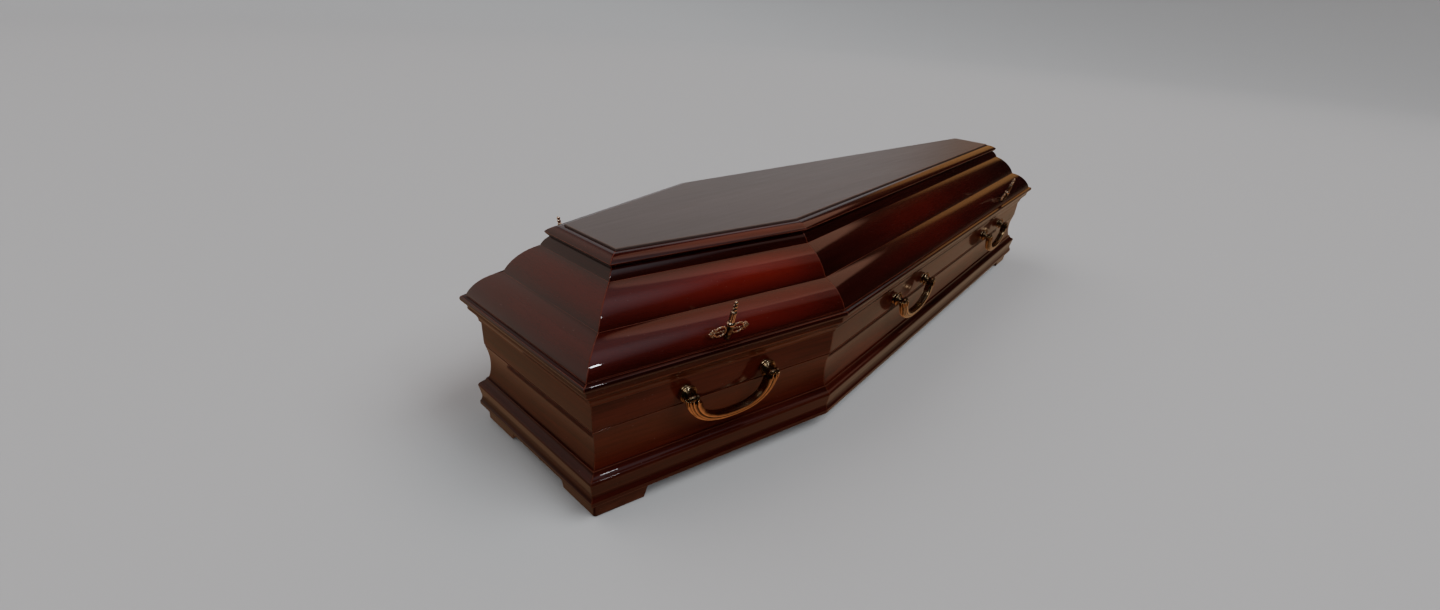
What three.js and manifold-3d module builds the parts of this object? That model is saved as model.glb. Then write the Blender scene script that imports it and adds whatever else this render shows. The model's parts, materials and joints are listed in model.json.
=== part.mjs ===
// A six-sided wooden coffin with a moulded lift-off lid, swinging bail handles and wing screws.
// Millimetres, +Z up. +X runs from the head end to the foot end, and the front long side faces -Y.
// The origin is on the ground, under the middle of the coffin.

import * as THREE from 'three';
import { mergeVertices } from 'three/addons/utils/BufferGeometryUtils.js';
import Module from 'manifold-3d';

const wasm = await Module();
wasm.setup();

// Clearances
const gap = 0.3; // between pieces that touch
const turningGap = 0.5; // between the pieces of a handle that turn on each other

// Outline of the box, over the upper faces of its walls
const boxLength = 1986;
const headWidth = 382;
const shoulderWidth = 616;
const footWidth = 374;
const shoulderFromHead = 534;

// Bracket feet at the four end corners
const footHeight = 37;
const footLegLength = 112; // along each wall at the top of the foot
const footSlant = 12; // shorter by this much on the ground
const footThickness = 30;
const footProjection = 7;
const footCornerRadius = 7;

// Walls and floor of the base
const wallHeight = 251; // from the underside of the base up to the lid
const wallThickness = 22;
const grooveHeight = 149; // middle of the groove, above the underside of the base
const grooveWidth = 3;
const grooveDepth = 3;
const coveDepth = 6; // hollow of the wall below the groove
const floorThickness = 20;

// Plinth moulding around the foot of the walls
const plinthHeight = 67;
const plinthProjection = 18.5;
const plinthSlopeHeight = 12.5;
const plinthNoseHeight = 7;
const plinthWaistHeight = 23.5; // narrowest place, above its underside
const plinthWaistDepth = 4.5;
const plinthBandHeight = 9;

// Rim moulding around the top of the walls
const rimHeight = 45;
const rimProjection = 17.5;
const rimFaceHeight = 13;
const rimNoseHeight = 8;
const rimFilletHeight = 4;
const rimFilletProjection = 3.5;

// Lid sides: a lip, two rolls and a neck
const lipOverhang = 27.5; // outside of the lip, beyond the walls
const lipHeight = 11;
const lipWidth = 10.5; // from the outside of the lip to the lower roll
const lipGrooveDepth = 1.2;
const lowerRollFoot = 14.5; // height of the lower edge of the roll above the lid's underside
const lowerRollWidth = 58.5;
const lowerRollHeight = 48.5;
const lowerRollBulge = 8.8;
const upperRollWidth = 58.5;
const upperRollHeight = 58;
const upperRollBulge = 8;
const neckWidth = 15;
const neckHeight = 19;
const neckBulge = 1.5;
const lidThickness = 18; // of the lid side behind the valley between the rolls

// Cornice and raised panel on top of the lid
const corniceWidth = 30.5;
const corniceOverhang = 8; // beyond the top of the neck
const corniceUndercut = 9;
const corniceHeight = 20;
const corniceBulge = 3.6;
const panelThickness = 24;

// Handles
const handleLift = 174; // height of the pivots above the underside of the base
const shortWallHandle = 274; // middle of the handle, measured from the head end of the short wall
const longWallHandles = [417, 1121]; // the same on the long wall, measured from the shoulder
const postSpacing = 184;
const pivotOut = 26; // from the wall to the pivot
const flangeRadius = 15;
const flangeThickness = 4;
const collarRadius = 18;
const collarBack = 7.5; // from the wall
const collarThickness = 6.5;
const neckRadius = 8.5;
const eyeRadius = 7.5;
const eyeWidth = 12;
const pinRadius = 3;
const earThickness = 4;
const bailHalfWidth = 75; // inside of the bail at the pivots
const bailDrop = 54; // from the pivots to the inside of the bail's lowest place
const bailSquareness = 2.4; // exponent of the bail's curve, 2 for an ellipse
const bailDepth = 18;
const bailHeight = 14.5; // thickness of the bail at its lowest place
const bailFlare = 2.1; // times as thick at its two ends
const bailFluteDepth = 0.13; // share of the thickness
const bailFlutes = 4;
const bailTopDrop = eyeRadius + 1.2; // from the pivots to the top of the arms

// Wing screws
const shortWallScrew = 258; // measured from the head end of the short wall
const longWallScrew = 1131; // measured from the shoulder
const screwTilt = 14; // degrees, leaning out
const screwFootHeight = 24; // where the screw meets the lower roll, above the lid's underside
const screwFootRadius = 7;
const screwFootDepth = 9; // long enough to be cut to the roll all round
const screwHeight = 83; // above the foot
const screwCollarRadius = 8.5;
const wingHeight = 17; // middle of the wings, above the foot of the screw
const wingCentre = 19; // from the middle of the screw to the middle of a wing
const wingHalfLength = 14;
const wingHalfHeight = 12.5;
const wingRim = 3.2;
const wingBar = 2.4;
const wingThickness = 4;
const wingKnobRadius = 6;
const wingKnobCentre = 36.5;

const lacquer = (color) => new THREE.MeshStandardMaterial({ color, roughness: 0.22, metalness: 0 });
const darkWood = lacquer('#3a1512');
const redWood = lacquer('#54130f');
const panelWood = lacquer('#5f534c');
const plainWood = new THREE.MeshStandardMaterial({ color: '#8a6a4a', roughness: 0.7, metalness: 0 });
const bronze = new THREE.MeshStandardMaterial({ color: '#8a5a2c', roughness: 0.3, metalness: 1 });
const paleBronze = new THREE.MeshStandardMaterial({ color: '#b08a5c', roughness: 0.3, metalness: 1 });

const coffin = new THREE.Group();

function addMesh(parent, name, geometry, material, position = [0, 0, 0]) {
  const mesh = new THREE.Mesh(geometry, material);
  mesh.name = name;
  mesh.position.set(...position);
  parent.add(mesh);
  return mesh;
}

// Booleans
function toSolid(geometry) {
  const bare = geometry.clone();
  bare.deleteAttribute('normal');
  bare.deleteAttribute('uv');
  const merged = mergeVertices(bare, 1e-4);
  const vertProperties = new Float32Array(merged.attributes.position.array);
  const triVerts = new Uint32Array(merged.index.array);
  return new wasm.Manifold(new wasm.Mesh({ numProp: 3, vertProperties, triVerts }));
}

function toGeometry(solid) {
  const mesh = solid.getMesh();
  const geometry = new THREE.BufferGeometry();
  geometry.setAttribute('position', new THREE.BufferAttribute(new Float32Array(mesh.vertProperties), 3));
  geometry.setIndex([...mesh.triVerts]);
  geometry.computeVertexNormals();
  return geometry;
}

// The outline is walked clockwise seen from above, so the outside lies on the left, along local +Y.
const headX = -boxLength / 2;
const footX = boxLength / 2;
const shoulderX = headX + shoulderFromHead;
const corners = [
  new THREE.Vector2(headX, -headWidth / 2),
  new THREE.Vector2(headX, headWidth / 2),
  new THREE.Vector2(shoulderX, shoulderWidth / 2),
  new THREE.Vector2(footX, footWidth / 2),
  new THREE.Vector2(footX, -footWidth / 2),
  new THREE.Vector2(shoulderX, -shoulderWidth / 2),
];
const sideNames = ['head', 'back_short', 'back_long', 'foot', 'front_long', 'front_short'];
const cornerNames = [
  'head_front',
  'head_back',
  'shoulder_back',
  'foot_back',
  'foot_front',
  'shoulder_front',
];

const sides = sideNames.map((name, index) => {
  const start = corners[index];
  const end = corners[(index + 1) % corners.length];
  const along = end.clone().sub(start);
  const length = along.length();
  along.normalize();
  const outward = new THREE.Vector2(-along.y, along.x);
  return { name, start, length, along, outward, angle: Math.atan2(along.y, along.x) };
});

// Slope of the mitre at the corner between two sides: how far it runs on for each millimetre outward
sides.forEach((side, index) => {
  const next = sides[(index + 1) % sides.length];
  const turn = Math.acos(side.along.dot(next.along));
  side.endMitre = Math.tan(turn / 2);
  side.endTrim = gap / 2 / Math.cos(turn / 2);
  next.startMitre = side.endMitre;
  next.startTrim = side.endTrim;
});

function addSideGroup(side) {
  const group = new THREE.Group();
  group.position.set(side.start.x, side.start.y, 0);
  group.rotation.z = side.angle;
  coffin.add(group);
  side.group = group;
}
sides.forEach(addSideGroup);

// A point measured along a side from its head end, or from its shoulder on a long side
function alongSide(side, distance) {
  return side.along.x < 0 ? side.length - distance : distance;
}

function outlineCorner(index, offset) {
  const next = sides[index];
  const previous = sides[(index + sides.length - 1) % sides.length];
  const out = next.outward.clone().multiplyScalar(offset);
  const back = next.along.clone().multiplyScalar(-offset * previous.endMitre);
  return corners[index].clone().add(out).add(back);
}

function hexagonPlate(offset, thickness) {
  const shape = new THREE.Shape(corners.map((corner, index) => outlineCorner(index, offset)).reverse());
  return new THREE.ExtrudeGeometry(shape, { depth: thickness, bevelEnabled: false });
}

// A profile of outward offset and height, run along a side and cut to the mitres at both ends
const toSideAxes = new THREE.Matrix4().makeBasis(
  new THREE.Vector3(0, 1, 0),
  new THREE.Vector3(0, 0, 1),
  new THREE.Vector3(1, 0, 0),
);

function mitredBoard(profile, side) {
  const options = { depth: 1, bevelEnabled: false };
  const geometry = new THREE.ExtrudeGeometry(profile, options).applyMatrix4(toSideAxes);
  const position = geometry.attributes.position;
  for (let i = 0; i < position.count; i += 1) {
    const offset = position.getY(i);
    const start = side.startTrim - offset * side.startMitre;
    const end = side.length - side.endTrim + offset * side.endMitre;
    position.setX(i, THREE.MathUtils.lerp(start, end, position.getX(i)));
  }
  geometry.computeVertexNormals();
  return geometry;
}

// Adds an arc from the path's last point, standing off its chord by the bulge on the chord's right
function bulgeTo(path, x, y, bulge, steps) {
  const from = path.currentPoint.clone();
  const to = new THREE.Vector2(x, y);
  const half = from.distanceTo(to) / 2;
  const halfTurn = 2 * Math.atan(bulge / half);
  const chord = to.clone().sub(from);
  const right = new THREE.Vector2(chord.y, -chord.x);
  for (let i = 1; i <= steps; i += 1) {
    const turn = THREE.MathUtils.lerp(-halfTurn, halfTurn, i / steps);
    const along = 0.5 + Math.sin(turn) / (2 * Math.sin(halfTurn));
    const off = (Math.cos(turn) - Math.cos(halfTurn)) / (2 * Math.sin(halfTurn));
    const point = from.clone().addScaledVector(chord, along).addScaledVector(right, off);
    path.lineTo(i === steps ? x : point.x, i === steps ? y : point.y);
  }
}

const profileOf = (x, y) => {
  const profile = new THREE.Shape();
  profile.moveTo(x, y);
  return profile;
};

// Heights of the stack
const baseZ = footHeight;
const seatZ = baseZ + wallHeight;
const lidZ = seatZ + gap;

function wallProfile() {
  const profile = profileOf(-wallThickness, 0);
  profile.lineTo(0, 0);
  profile.lineTo(0, plinthHeight);
  const grooveTop = grooveHeight + grooveWidth / 2;
  const grooveBottom = grooveHeight - grooveWidth / 2;
  bulgeTo(profile, -1, grooveBottom, -coveDepth, 7);
  profile.lineTo(-grooveDepth, grooveHeight);
  profile.lineTo(-0.6, grooveTop);
  profile.lineTo(0, grooveTop + 4);
  profile.lineTo(0, wallHeight);
  profile.lineTo(-wallThickness, wallHeight);
  return profile;
}

function plinthProfile() {
  const noseTop = plinthHeight - plinthSlopeHeight;
  const waist = plinthProjection - plinthWaistDepth;
  const profile = profileOf(gap, 0);
  profile.lineTo(plinthProjection - 1.5, 0);
  profile.lineTo(plinthProjection, 1.5);
  profile.lineTo(plinthProjection, plinthBandHeight);
  bulgeTo(profile, waist, plinthWaistHeight, -0.8, 3);
  profile.lineTo(plinthProjection - 1, noseTop - plinthNoseHeight);
  bulgeTo(profile, plinthProjection - 2.5, noseTop, 1.4, 3);
  profile.lineTo(4, plinthHeight - 3);
  profile.lineTo(3, plinthHeight);
  profile.lineTo(gap, plinthHeight);
  return profile;
}

function rimProfile() {
  const top = wallHeight;
  const faceBottom = top - rimFaceHeight;
  const bottom = top - rimHeight;
  const profile = profileOf(gap, bottom);
  profile.lineTo(rimFilletProjection, bottom);
  profile.lineTo(rimFilletProjection, bottom + rimFilletHeight);
  profile.lineTo(rimProjection - 3, faceBottom - rimNoseHeight);
  bulgeTo(profile, rimProjection, faceBottom, 0.8, 2);
  profile.lineTo(rimProjection, top);
  profile.lineTo(gap, top);
  return profile;
}

// Lid sides, measured from the lid's underside
const rollOut = lipOverhang - lipWidth;
const valleyOut = rollOut - lowerRollWidth;
const valleyHeight = lowerRollFoot + lowerRollHeight;
const neckOut = valleyOut - upperRollWidth;
const neckFoot = valleyHeight + upperRollHeight;
const neckTopOut = neckOut - neckWidth;
const lidSideHeight = neckFoot + neckHeight;
const panelOut = neckTopOut + corniceOverhang - corniceWidth;

function lidSideProfile() {
  const slope = (neckFoot - lowerRollFoot) / (rollOut - neckOut);
  const drop = lidThickness * Math.hypot(1, slope);
  const innerHeight = (out) => valleyHeight - drop - (out - valleyOut) * slope;
  const topInner = valleyOut - (lidSideHeight - valleyHeight + drop) / slope;
  const profile = profileOf(-wallThickness, 0);
  profile.lineTo(lipOverhang - 2, 0);
  bulgeTo(profile, lipOverhang - 2.5, lipHeight, 2.3, 4);
  profile.lineTo(rollOut - lipGrooveDepth, lipHeight + 0.5);
  profile.lineTo(rollOut, lowerRollFoot);
  bulgeTo(profile, valleyOut, valleyHeight, lowerRollBulge, 9);
  bulgeTo(profile, neckOut, neckFoot, upperRollBulge, 9);
  bulgeTo(profile, neckTopOut, lidSideHeight, neckBulge, 2);
  profile.lineTo(topInner, lidSideHeight);
  profile.lineTo(-wallThickness, innerHeight(-wallThickness));
  return profile;
}

function corniceProfile() {
  const lipOut = neckTopOut + corniceOverhang;
  const profile = profileOf(panelOut + gap, 0);
  profile.lineTo(neckTopOut + 1, 0);
  profile.lineTo(lipOut - 1.5, corniceUndercut - 3);
  profile.lineTo(lipOut, corniceUndercut);
  bulgeTo(profile, panelOut + gap, corniceHeight, corniceBulge, 4);
  return profile;
}

// A bracket foot wraps the corner with two legs, each shorter on the ground than at its top
function bracketFoot(index) {
  const before = sides[(index + sides.length - 1) % sides.length];
  const after = sides[index];
  const outer = outlineCorner(index, footProjection).sub(corners[index]);
  const inner = outlineCorner(index, footProjection - footThickness).sub(corners[index]);
  const awayBefore = before.along.clone().negate();
  const endOf = (away, outward) => {
    const tip = outer.clone().addScaledVector(away, footLegLength);
    return [tip, tip.clone().addScaledVector(outward, -footThickness)];
  };
  const [beforeOuter, beforeInner] = endOf(awayBefore, before.outward);
  const [afterOuter, afterInner] = endOf(after.along, after.outward);
  const reach = footCornerRadius * before.endMitre;
  const roundStart = outer.clone().addScaledVector(awayBefore, reach);
  const roundEnd = outer.clone().addScaledVector(after.along, reach);
  const shape = new THREE.Shape();
  shape.moveTo(beforeInner.x, beforeInner.y);
  shape.lineTo(beforeOuter.x, beforeOuter.y);
  shape.lineTo(roundStart.x, roundStart.y);
  shape.quadraticCurveTo(outer.x, outer.y, roundEnd.x, roundEnd.y);
  shape.lineTo(afterOuter.x, afterOuter.y);
  shape.lineTo(afterInner.x, afterInner.y);
  shape.lineTo(inner.x, inner.y);
  const options = { depth: footHeight - gap, bevelEnabled: false, curveSegments: 4 };
  const geometry = new THREE.ExtrudeGeometry(shape, options);
  const position = geometry.attributes.position;
  const point = new THREE.Vector2();
  for (let i = 0; i < position.count; i += 1) {
    point.fromBufferAttribute(position, i);
    const atGround = position.getZ(i) < footHeight / 2;
    const fromOuter = point.clone().sub(outer);
    for (const away of [awayBefore, after.along]) {
      if (atGround && fromOuter.dot(away) > footLegLength - 1) {
        point.addScaledVector(away, -footSlant);
      }
    }
    position.setXY(i, point.x, point.y);
  }
  geometry.computeVertexNormals();
  return geometry;
}

const cylinderAlongX = (radius, length, x, segments) =>
  new THREE.CylinderGeometry(radius, radius, length, segments).rotateZ(Math.PI / 2).translate(x, 0, 0);

// A turned post with a ringed collar and, in front of it, the eye that the bail hangs on
function handlePost() {
  const collarFront = collarBack + collarThickness;
  const outline = [
    [0, gap],
    [flangeRadius, gap],
    [flangeRadius, flangeThickness],
    [neckRadius, flangeThickness + 1.5],
    [collarRadius - 1.5, collarBack],
    [collarRadius, collarBack + 2],
    [collarRadius - 1, collarFront - 1.5],
    [collarRadius - 4, collarFront],
    [neckRadius, collarFront - 1.5],
    [eyeRadius - 2, pivotOut - 4],
    [0, pivotOut - 4],
  ].map(([radius, height]) => new THREE.Vector2(radius, height));
  const turned = toSolid(new THREE.LatheGeometry(outline, 8));
  const eye = toSolid(cylinderAlongX(eyeRadius, eyeWidth, 0, 10).translate(0, pivotOut, 0));
  const hole = toSolid(cylinderAlongX(pinRadius + turningGap, eyeWidth * 2, 0, 8).translate(0, pivotOut, 0));
  return toGeometry(turned.add(eye).subtract(hole));
}

// The bail's section: flat on the inside of the curve and fluted on the outside
function bailSection() {
  const shape = profileOf(0, -bailDepth / 2);
  const steps = bailFlutes * 2;
  for (let i = 0; i <= steps; i += 1) {
    const angle = -Math.PI / 2 + (Math.PI * i) / steps;
    const reach = i % 2 === 1 ? 1 : 1 - bailFluteDepth;
    const squeeze = i === 0 || i === steps ? 1 : reach;
    shape.lineTo(bailHeight * squeeze * (0.3 + 0.7 * Math.cos(angle)), (bailDepth / 2) * Math.sin(angle));
  }
  shape.lineTo(0, bailDepth / 2);
  return shape;
}

// The inside edge of the bail runs down one arm, along the bottom and up the other
function bailPoint(turn) {
  const power = 2 / bailSquareness;
  const across = Math.sign(Math.cos(turn)) * Math.abs(Math.cos(turn)) ** power;
  const down = Math.abs(Math.sin(turn)) ** power;
  return new THREE.Vector2(-bailHalfWidth * across, -bailDrop * down);
}

function bailArch() {
  const options = { depth: 1, steps: 10, bevelEnabled: false };
  const geometry = new THREE.ExtrudeGeometry(bailSection(), options);
  const firstTurn = Math.asin((bailTopDrop / bailDrop) ** (bailSquareness / 2));
  const position = geometry.attributes.position;
  for (let i = 0; i < position.count; i += 1) {
    const along = position.getZ(i);
    const turn = THREE.MathUtils.lerp(firstTurn, Math.PI - firstTurn, along);
    const here = bailPoint(turn);
    const tangent = bailPoint(turn + 0.01).sub(bailPoint(turn - 0.01)).normalize();
    if (along < 1e-6 || along > 1 - 1e-6) {
      tangent.set(0, along < 0.5 ? -1 : 1);
    }
    const outward = new THREE.Vector2(tangent.y, -tangent.x);
    const flare = 1 + (bailFlare - 1) * Math.abs(2 * along - 1) ** 2;
    const out = position.getX(i) * flare;
    position.setXYZ(i, here.x + outward.x * out, position.getY(i), here.y + outward.y * out);
  }
  return geometry;
}

// An ear is a flat tab along Z with a round top, and it stands on the end of an arm
function bailEar(x) {
  const radius = eyeRadius - 0.5;
  const foot = -bailTopDrop - 2;
  const tab = new THREE.Shape();
  tab.moveTo(-radius, foot);
  tab.lineTo(radius, foot);
  tab.lineTo(radius, 0);
  tab.absarc(0, 0, radius, 0, Math.PI, false);
  const options = { depth: earThickness, bevelEnabled: false, curveSegments: 3 };
  const flat = new THREE.ExtrudeGeometry(tab, options).translate(0, 0, -earThickness / 2);
  return toSolid(flat.applyMatrix4(toSideAxes).translate(x, 0, 0));
}

// The bail hangs on two pins, each held between a pair of ears that straddle a post's eye
function handleBail() {
  let solid = toSolid(bailArch());
  const earOut = eyeWidth / 2 + turningGap + earThickness / 2;
  for (const middle of [-postSpacing / 2, postSpacing / 2]) {
    solid = solid.add(bailEar(middle - earOut)).add(bailEar(middle + earOut));
    solid = solid.add(toSolid(cylinderAlongX(pinRadius, earOut * 2, middle, 8)));
  }
  return toGeometry(solid);
}

// A wing screw: a beaded spindle with two pierced wings
function screwSpindle() {
  const radius = screwCollarRadius;
  const height = screwHeight;
  const outline = [
    [0, -screwFootDepth],
    [screwFootRadius, -screwFootDepth],
    [screwFootRadius, height * 0.035],
    [radius * 0.53, height * 0.06],
    [radius * 0.82, height * 0.13],
    [radius * 0.82, height * 0.27],
    [radius * 0.65, height * 0.33],
    [radius, height * 0.39],
    [radius * 0.7, height * 0.45],
    [radius * 0.76, height * 0.71],
    [radius * 0.35, height * 0.735],
    [radius * 0.56, height * 0.785],
    [radius * 0.33, height * 0.825],
    [radius * 0.52, height * 0.88],
    [radius * 0.3, height * 0.93],
    [0, height],
  ].map(([out, up]) => new THREE.Vector2(out, up));
  return new THREE.LatheGeometry(outline, 7).rotateX(Math.PI / 2);
}

function screwWings() {
  const plate = new THREE.Shape();
  plate.moveTo(wingCentre + wingHalfLength, 0);
  plate.absellipse(wingCentre, 0, wingHalfLength, wingHalfHeight, 0, Math.PI * 2, false);
  for (const side of [-1, 1]) {
    const hole = new THREE.Path();
    const reach = wingHalfLength - wingRim;
    hole.moveTo(wingCentre - reach, (side * wingBar) / 2);
    const rise = wingHalfHeight - wingRim - wingBar / 2;
    hole.absellipse(wingCentre, (side * wingBar) / 2, reach, rise, Math.PI, 0, side > 0);
    plate.holes.push(hole);
  }
  const options = { depth: wingThickness, bevelEnabled: false, curveSegments: 4 };
  const pierced = new THREE.ExtrudeGeometry(plate, options).translate(0, 0, -wingThickness / 2);
  const knob = new THREE.SphereGeometry(wingKnobRadius, 5, 3).translate(wingKnobCentre, 0, 0);
  return toSolid(pierced).add(toSolid(knob));
}

// The lower roll is part of a cylinder along the side, and the screws stand on it
function lowerRoll() {
  const chord = Math.hypot(lowerRollWidth, lowerRollHeight);
  const radius = (chord * chord * 0.25 + lowerRollBulge ** 2) / (2 * lowerRollBulge);
  const sink = (radius - lowerRollBulge) / chord;
  const out = (rollOut + valleyOut) / 2 - sink * lowerRollHeight;
  const height = lowerRollFoot + lowerRollHeight / 2 - sink * lowerRollWidth;
  return { radius, out, height };
}

function wingScrew(frame) {
  const roll = lowerRoll();
  const rollBody = cylinderAlongX(roll.radius + gap, screwFootRadius * 4, 0, 128);
  rollBody.translate(0, roll.out, lidZ + roll.height);
  const cutter = toSolid(rollBody.applyMatrix4(frame.clone().invert()));
  const wing = screwWings().rotate([90, 0, 0]).translate([0, 0, wingHeight]);
  const otherWing = wing.rotate([0, 0, 180]);
  return toGeometry(toSolid(screwSpindle()).subtract(cutter).add(wing).add(otherWing));
}

addMesh(coffin, 'floor_board', hexagonPlate(-wallThickness - gap, floorThickness), plainWood, [0, 0, baseZ]);
const corniceZ = lidZ + lidSideHeight + gap;
addMesh(coffin, 'lid_top_panel', hexagonPlate(panelOut, panelThickness), panelWood, [0, 0, corniceZ]);

function addBoard(side, kind, profile, material, height) {
  addMesh(side.group, `${kind}_${side.name}`, mitredBoard(profile, side), material, [0, 0, height]);
}

for (const side of sides) {
  addBoard(side, 'wall', wallProfile(), darkWood, baseZ);
  addBoard(side, 'plinth_moulding', plinthProfile(), darkWood, baseZ);
  addBoard(side, 'rim_moulding', rimProfile(), darkWood, baseZ);
  addBoard(side, 'lid_side', lidSideProfile(), redWood, lidZ);
  addBoard(side, 'lid_cornice', corniceProfile(), redWood, corniceZ);
}

cornerNames.forEach((name, index) => {
  if (!name.startsWith('shoulder')) {
    const { x, y } = corners[index];
    addMesh(coffin, `bracket_foot_${name}`, bracketFoot(index), darkWood, [x, y, 0]);
  }
});

function addHandle(side, name, distance) {
  const handle = new THREE.Group();
  handle.position.set(alongSide(side, distance), 0, baseZ + handleLift);
  side.group.add(handle);
  addMesh(handle, `handle_${name}_post_1`, handlePost(), bronze, [-postSpacing / 2, 0, 0]);
  addMesh(handle, `handle_${name}_post_2`, handlePost(), bronze, [postSpacing / 2, 0, 0]);
  addMesh(handle, `handle_${name}_bail`, handleBail(), bronze, [0, pivotOut, 0]);
}

function addScrew(side, name, distance) {
  const roll = lowerRoll();
  const rise = screwFootHeight - roll.height;
  const out = roll.out + Math.sqrt(roll.radius ** 2 - rise ** 2);
  const screw = new THREE.Mesh();
  screw.material = paleBronze;
  screw.name = `wing_screw_${name}`;
  screw.position.set(0, out, lidZ + screwFootHeight);
  screw.rotation.x = -THREE.MathUtils.degToRad(screwTilt);
  screw.updateMatrix();
  screw.geometry = wingScrew(screw.matrix);
  screw.position.x = alongSide(side, distance);
  side.group.add(screw);
}

for (const flank of ['front', 'back']) {
  const shortSide = sides.find((side) => side.name === `${flank}_short`);
  const longSide = sides.find((side) => side.name === `${flank}_long`);
  addHandle(shortSide, `${flank}_head`, shortWallHandle);
  addHandle(longSide, `${flank}_middle`, longWallHandles[0]);
  addHandle(longSide, `${flank}_foot`, longWallHandles[1]);
  addScrew(shortSide, `${flank}_head`, shortWallScrew);
  addScrew(longSide, `${flank}_foot`, longWallScrew);
}

export default coffin;
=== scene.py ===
import json
import math

import bpy
from mathutils import Matrix, Vector


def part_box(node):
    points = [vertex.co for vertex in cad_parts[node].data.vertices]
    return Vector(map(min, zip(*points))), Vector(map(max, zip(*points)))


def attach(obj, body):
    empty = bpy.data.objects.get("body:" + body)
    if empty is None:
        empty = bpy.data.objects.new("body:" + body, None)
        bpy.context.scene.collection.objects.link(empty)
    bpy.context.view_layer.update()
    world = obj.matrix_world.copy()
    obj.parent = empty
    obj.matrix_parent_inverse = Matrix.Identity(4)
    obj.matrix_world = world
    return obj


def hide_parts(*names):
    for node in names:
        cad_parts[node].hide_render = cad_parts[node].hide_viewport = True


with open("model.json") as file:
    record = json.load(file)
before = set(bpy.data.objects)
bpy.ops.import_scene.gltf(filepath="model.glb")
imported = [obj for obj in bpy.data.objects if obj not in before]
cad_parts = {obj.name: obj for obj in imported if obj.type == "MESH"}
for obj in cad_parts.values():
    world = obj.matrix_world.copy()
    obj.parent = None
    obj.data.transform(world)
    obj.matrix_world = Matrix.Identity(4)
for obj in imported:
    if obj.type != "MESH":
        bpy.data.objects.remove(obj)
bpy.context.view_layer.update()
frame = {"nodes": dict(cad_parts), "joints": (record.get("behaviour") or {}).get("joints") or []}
print("frame loaded")

mm = 0.001


def blend(a, b, share):
    return a + (b - a) * share


def smoothStep(value):
    value = min(max(value, 0.0), 1.0)
    return value * value * (3 - 2 * value)


# The outline over the walls' faces, clockwise from above, and the six sides between its corners

sideNames = ["head", "back_short", "back_long", "foot", "front_long", "front_short"]


def findCorners():
    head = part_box("wall_head")
    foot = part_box("wall_foot")
    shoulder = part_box("wall_front_short")
    headX, headY = head[0].x, head[1].y
    footX, footY = foot[1].x, foot[1].y
    shoulderX, shoulderY = shoulder[1].x, -shoulder[0].y
    return [
        Vector((headX, -headY, 0)),
        Vector((headX, headY, 0)),
        Vector((shoulderX, shoulderY, 0)),
        Vector((footX, footY, 0)),
        Vector((footX, -footY, 0)),
        Vector((shoulderX, -shoulderY, 0)),
    ]


corners = findCorners()


def makeSides():
    made = []
    for index, name in enumerate(sideNames):
        start = corners[index]
        run = corners[(index + 1) % 6] - start
        along = run.normalized()
        outward = Vector((-along.y, along.x, 0))
        place = Matrix.Translation(start) @ Matrix.Rotation(math.atan2(along.y, along.x), 4, "Z")
        made.append({"name": name, "index": index, "length": run.length, "along": along,
                     "outward": outward, "place": place})
    for index, side in enumerate(made):
        following = made[(index + 1) % 6]
        turn = side["along"].angle(following["along"])
        side["endMitre"] = math.tan(turn / 2)
        following["startMitre"] = side["endMitre"]
    return made


sides = makeSides()
sideNamed = {side["name"]: side for side in sides}


def outlineCorner(index, offset):
    following = sides[index]
    back = -offset * sides[index - 1]["endMitre"]
    return corners[index] + following["outward"] * offset + following["along"] * back


# Profiles are lists of (out, up, rounding radius, painted sheen) in millimetres

# Arcs can carry a painted red sheen, strongest at their middle, where the swell catches the light
def arcTo(points, out, up, bulge, steps, radius=0.0, painted_sheen=0.0):
    start = Vector(points[-1][:2])
    chord = Vector((out, up)) - start
    right = Vector((chord.y, -chord.x))
    halfTurn = 2 * math.atan(2 * bulge / chord.length)
    for step in range(1, steps):
        turn = blend(-halfTurn, halfTurn, step / steps)
        forward = 0.5 + math.sin(turn) / (2 * math.sin(halfTurn))
        off = (math.cos(turn) - math.cos(halfTurn)) / (2 * math.sin(halfTurn))
        point = start + chord * forward + right * off
        points.append((point.x, point.y, 0.0, painted_sheen * math.sin(math.pi * step / steps) ** 0.7))
    points.append((out, up, radius, 0.0))


# Rounds each marked corner and gives back (out, up, wear, painted sheen)
def roundCorners(points, guard=1.2, stepAngle=math.radians(14)):
    rounded = []
    for index, (out, up, radius, painted_sheen) in enumerate(points):
        here = Vector((out, up))
        if radius == 0:
            rounded.append((here, 0.0, painted_sheen))
            continue
        before = here - Vector(points[index - 1][:2])
        after = Vector(points[(index + 1) % len(points)][:2]) - here
        turn = before.angle(after)
        reach = min(radius * math.tan(turn / 2), 0.45 * before.length, 0.45 * after.length)
        arrive, leave = before.normalized(), after.normalized()
        first, last = here - arrive * reach, here + leave * reach
        roomBefore = min(guard, 0.4 * (before.length - reach))
        roomAfter = min(guard, 0.4 * (after.length - reach))
        rounded.append((first - arrive * roomBefore, 0.0, painted_sheen))
        steps = max(2, math.ceil(turn / stepAngle))
        for step in range(steps + 1):
            share = step / steps
            point = first * (1 - share) ** 2 + here * 2 * share * (1 - share) + last * share ** 2
            rounded.append((point, 0.25 + 0.75 * math.sin(math.pi * share), painted_sheen))
        rounded.append((last + leave * roomAfter, 0.0, painted_sheen))
    return rounded


# Twice the area inside a loop, positive when it turns left
def loopArea(loop):
    return sum(loop[i - 1][0].x * loop[i][0].y - loop[i][0].x * loop[i - 1][0].y for i in range(len(loop)))


def inwardNormals(loop):
    count = len(loop)
    sign = 1 if loopArea(loop) > 0 else -1
    normals = []
    for i in range(count):
        run = loop[(i + 1) % count][0] - loop[i - 1][0]
        normals.append(Vector((-run.y, run.x)).normalized() * sign)
    return normals


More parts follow.
